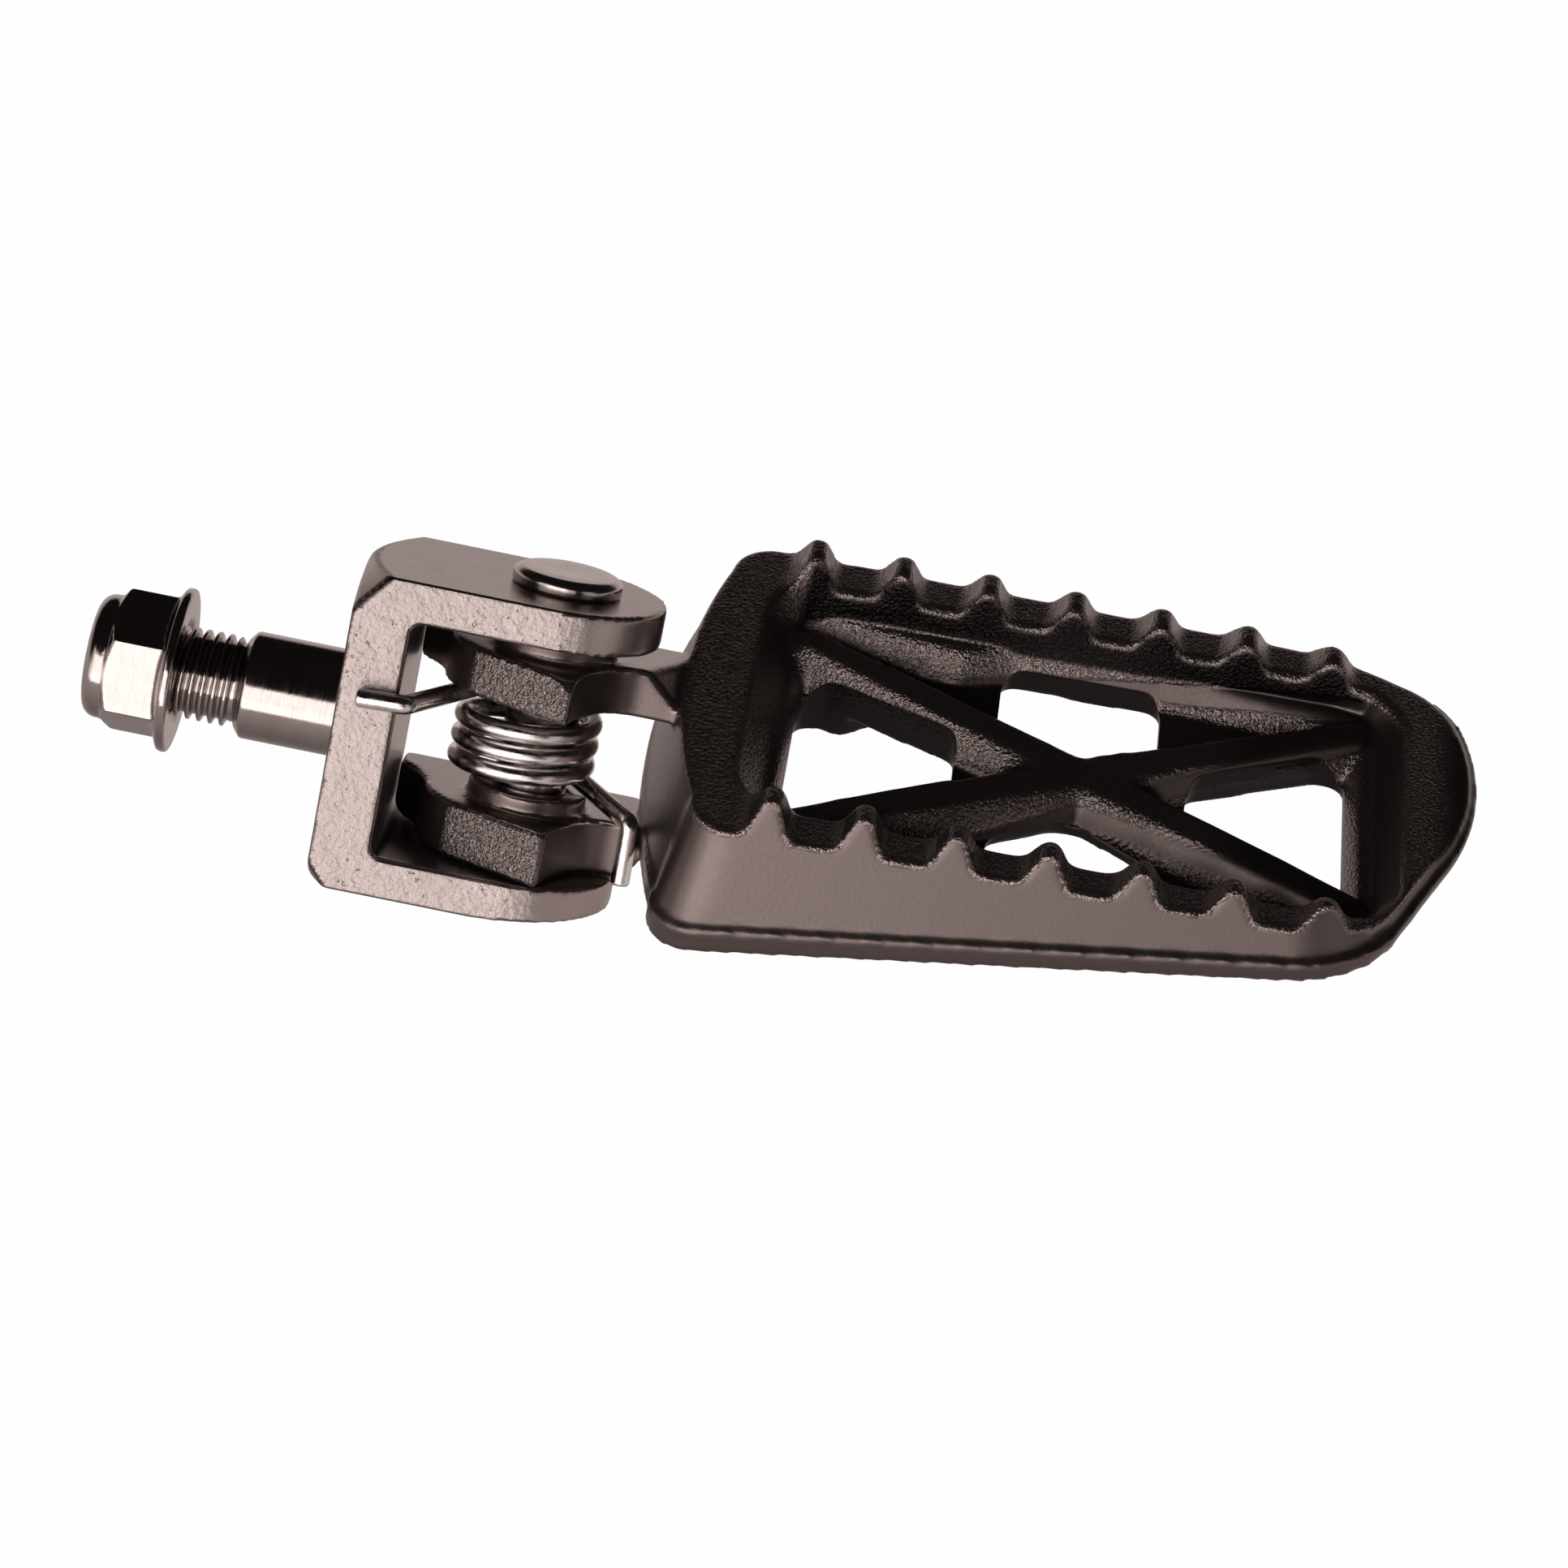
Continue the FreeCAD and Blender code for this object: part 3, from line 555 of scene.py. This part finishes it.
def black_casting():
    f = Finish("black_casting", (0.15, 0.125, 0.12), 0.92, 0.3)
    grit, machined, skirt, painted_shade = (f.mask(name) for name in ("grit", "machined", "skirt", "painted_shade"))
    coat = f.mix(f.noise(9.0, 3.0), (0.20, 0.170, 0.163), (0.25, 0.213, 0.205))
    # painted shade: the same black coat set darker on the skirt and the ledge than on the top, to tone down
    # the front light there
    coat = f.mix(skirt, coat, (0.115, 0.096, 0.092))
    coat = f.mix(grit, coat, (0.28, 0.245, 0.235))
    # painted shade: near-black colour on the upright walls of the windows and of the hollow
    f.drive("Base Color", f.mix(painted_shade, coat, (0.02, 0.017, 0.017)))
    smoothness = f.calc("MAXIMUM", machined, skirt)
    fine = f.calc("MULTIPLY", f.noise(0.4, 2.0, 0.6), f.blend(smoothness, 0.25, 0.012))
    coarse = f.calc("MULTIPLY", f.noise(0.5, 2.0, 0.7), f.calc("MULTIPLY", grit, 0.6))
    f.drive("Normal", f.relief(f.calc("ADD", fine, coarse), 1.0))
    gloss = f.spread(f.noise(0.3, 3.0), 0.3, 0.7, 0.17, 0.22)
    f.drive("Roughness", f.calc("ADD", gloss, f.calc("MULTIPLY", skirt, 0.16)))
    return f


def forged_steel():
    f = Finish("forged_steel", (0.36, 0.31, 0.30), 0.95, 0.4)
    forged, turned = f.mask("forged"), f.mask("turned")
    patches = f.noise(5.0, 4.0, 0.6)
    satin = f.mix(patches, (0.30, 0.258, 0.245), (0.38, 0.33, 0.315))
    rough = f.mix(patches, (0.36, 0.32, 0.308), (0.47, 0.425, 0.412))
    f.drive("Base Color", f.mix(turned, f.mix(forged, satin, rough), (0.06, 0.052, 0.052)))
    bumps = f.calc("ADD", f.noise(0.55, 3.0, 0.6), f.calc("MULTIPLY", f.noise(1.7, 2.0), 1.2))
    pits = f.spread(f.noise(0.8, 1.5, 0.6), 0.24, 0.31)
    height = f.calc("ADD", f.calc("MULTIPLY", bumps, f.blend(forged, 0.012, 0.15)),
                    f.calc("MULTIPLY", pits, f.blend(forged, 0.04, 0.12)))
    f.drive("Normal", f.relief(height, 1.0))
    f.drive("Roughness", f.blend(forged, 0.27, 0.5))
    return f


def black_steel():
    f = Finish("black_steel", (0.34, 0.31, 0.30), 1.0, 0.12)
    tooling = f.noise(0.22, 3.0, 0.7, stretch=(1, 0.02, 0.02))
    f.drive("Normal", f.relief(tooling, 0.028))
    f.drive("Base Color", f.mix(f.noise(2.0, 3.0), (0.31, 0.285, 0.275), (0.40, 0.365, 0.355)))
    f.drive("Roughness", f.spread(tooling, 0.3, 0.7, 0.08, 0.16))
    return f


def pin_steel():
    f = Finish("pin_steel", (0.34, 0.30, 0.29), 1.0, 0.25)
    scuffs = f.noise(1.1, 5.0, 0.7)
    f.drive("Base Color", f.mix(scuffs, (0.38, 0.335, 0.325), (0.50, 0.455, 0.44)))
    f.drive("Roughness", f.spread(scuffs, 0.3, 0.7, 0.14, 0.24))
    f.drive("Normal", f.relief(f.noise(0.6, 3.0, 0.6), 0.008))
    return f


def spring_wire():
    f = Finish("spring_wire", (0.72, 0.70, 0.69), 1.0, 0.12)
    marks = {0: f.mask("along"), 1: f.mask("around_cos"), 2: f.mask("around_sin")}
    route = f.add("ShaderNodeCombineXYZ", marks).outputs[0]
    drawn = f.noise(0.12, 3.0, 0.7, stretch=(0.03, 1, 1), place=route)
    f.drive("Base Color", f.mix(f.noise(1.6, 4.0), (0.55, 0.53, 0.52), (0.82, 0.80, 0.79)))
    f.drive("Roughness", f.spread(f.noise(0.8, 4.0), 0.3, 0.7, 0.07, 0.22))
    f.drive("Normal", f.relief(f.calc("ADD", drawn, f.noise(0.7, 3.0)), 0.02))
    return f


def nylon():
    f = Finish("nylon", (0.05, 0.12, 0.42), 0.0, 0.45)
    f.drive("Base Color", f.mix(f.noise(2.0), (0.04, 0.10, 0.38), (0.07, 0.15, 0.48)))
    f.drive("Normal", f.relief(f.noise(0.5, 2.0), 0.02))
    return f


# ---- studio ----------------------------------------------------------------------------------
def floor_plane():
    low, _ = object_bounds()
    r, height = FLOOR_REACH, low.z - FLOOR_GAP
    mesh = bpy.data.meshes.new("floor")
    corners = [(-r, -r, height), (r, -r, height), (r, r, height), (-r, r, height)]
    mesh.from_pydata(corners, [], [(0, 1, 2, 3)])
    floor = link("floor", mesh)
    f = Finish("floor", (0.02, 0.02, 0.02), 0.0, 0.9, Specular_IOR_Level=0.0,
               Emission_Color=(1, 1, 1, 1), Emission_Strength=0.99)
    f.dress(floor)
    floor.visible_glossy = floor.visible_diffuse = floor.visible_shadow = False


def softbox(name, azimuth, elevation, width, height, radiance, colour, distance=1.1):
    """Rectangular lamp aimed at the middle of the object; azimuth 0 is in front, towards -Y."""
    a, e = math.radians(azimuth), math.radians(elevation)
    target = Vector((45, 5, 0)) * MM
    away = Vector((math.sin(a) * math.cos(e), -math.cos(a) * math.cos(e), math.sin(e)))
    lamp = bpy.data.lights.new(name, "AREA")
    lamp.shape = "RECTANGLE"
    lamp.size, lamp.size_y = width, height
    lamp.energy = radiance * math.pi * width * height
    lamp.color = colour
    obj = bpy.data.objects.new(name, lamp)
    bpy.context.scene.collection.objects.link(obj)
    obj.location = target + away * distance
    obj.rotation_mode = "QUATERNION"
    obj.rotation_quaternion = away.to_track_quat("Z", "Y")


def surround():
    """Dark studio with a warm glow round the horizon that fades out below."""
    world = bpy.data.worlds.new("studio")
    world.use_nodes = True
    tree = world.node_tree
    place = tree.nodes.new("ShaderNodeTexCoord")
    height = tree.nodes.new("ShaderNodeSeparateXYZ")
    level = tree.nodes.new("ShaderNodeMapRange")
    level.inputs["From Min"].default_value = -1.0
    fade = tree.nodes.new("ShaderNodeValToRGB")
    tree.links.new(place.outputs["Generated"], height.inputs[0])
    tree.links.new(height.outputs["Z"], level.inputs["Value"])
    tree.links.new(level.outputs[0], fade.inputs[0])
    tree.links.new(fade.outputs[0], tree.nodes["Background"].inputs[0])
    fade.color_ramp.elements.remove(fade.color_ramp.elements[1])
    fade.color_ramp.elements[0].position = 0.0
    fade.color_ramp.elements[0].color = (0.30, 0.255, 0.246, 1)
    for spot, glow in ((0.18, 0.52), (0.42, 0.72), (0.51, 0.6), (0.57, 0.012)):
        fade.color_ramp.elements.new(spot).color = (glow, 0.85 * glow, 0.82 * glow, 1)
    return world


def lights():
    warm = (1.0, 0.90, 0.87)
    softbox("left", -52, 11, 0.4, 1.0, 1.3, warm)
    softbox("front_left", -20, 11, 0.84, 1.0, 3.2, warm)
    softbox("front", 9, 8, 0.42, 1.0, 1.05, warm)
    softbox("right", 52, 17, 0.5, 0.6, 0.5, warm)
    bpy.context.scene.world = surround()


def camera():
    """Long lens from above and in front, a little outboard of the bracket."""
    axes = np.array(((0.980, 0.113, 0.163), (-0.198, 0.627, 0.754), (-0.017, -0.771, 0.637)))
    u, _, v = np.linalg.svd(axes)
    axes = u @ v                        # its right, up and backward directions, made square
    hinge = np.array((HINGE_X, 0, 0))
    hinge_seen = np.array((-26.8, 4.5, -475.4)) * MM
    world = np.eye(4)
    world[:3, :3] = axes.T
    world[:3, 3] = hinge - axes.T @ hinge_seen
    data = bpy.data.cameras.new("camera")
    data.lens, data.sensor_width = 100.5, 36.0
    data.clip_start, data.clip_end = 0.01, 50
    obj = bpy.data.objects.new("camera", data)
    bpy.context.scene.collection.objects.link(obj)
    obj.matrix_world = Matrix(world.tolist())
    bpy.context.scene.camera = obj


def build():
    casting, steel, black = black_casting(), forged_steel(), black_steel()
    plated, wire = pin_steel(), spring_wire()
    for make, node, body, finish, slot in (
            (platform, "peg_body", "peg", casting, "black_casting"),
            (forging, "bracket", "bracket", steel, "forged_steel"),
            (stud, "bracket", "bracket", black, "black_steel"),
            (hinge_pin, "hinge_pin", "bracket", plated, "pin_steel"),
            (nut, "lock_nut", "nut", black, "black_steel")):
        piece = make()
        finish.dress(piece)
        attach(piece, body)
        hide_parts(node)
    coil = spring()
    wire.dress(coil)
    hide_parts("return_spring")
    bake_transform(coil)
    for node, finish in (("nut_insert", nylon()), ("pin_washer", plated), ("retaining_ring", black)):
        finish.dress(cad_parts[node])


build()
floor_plane()
lights()
camera()
bpy.context.scene.view_settings.view_transform = "Standard"
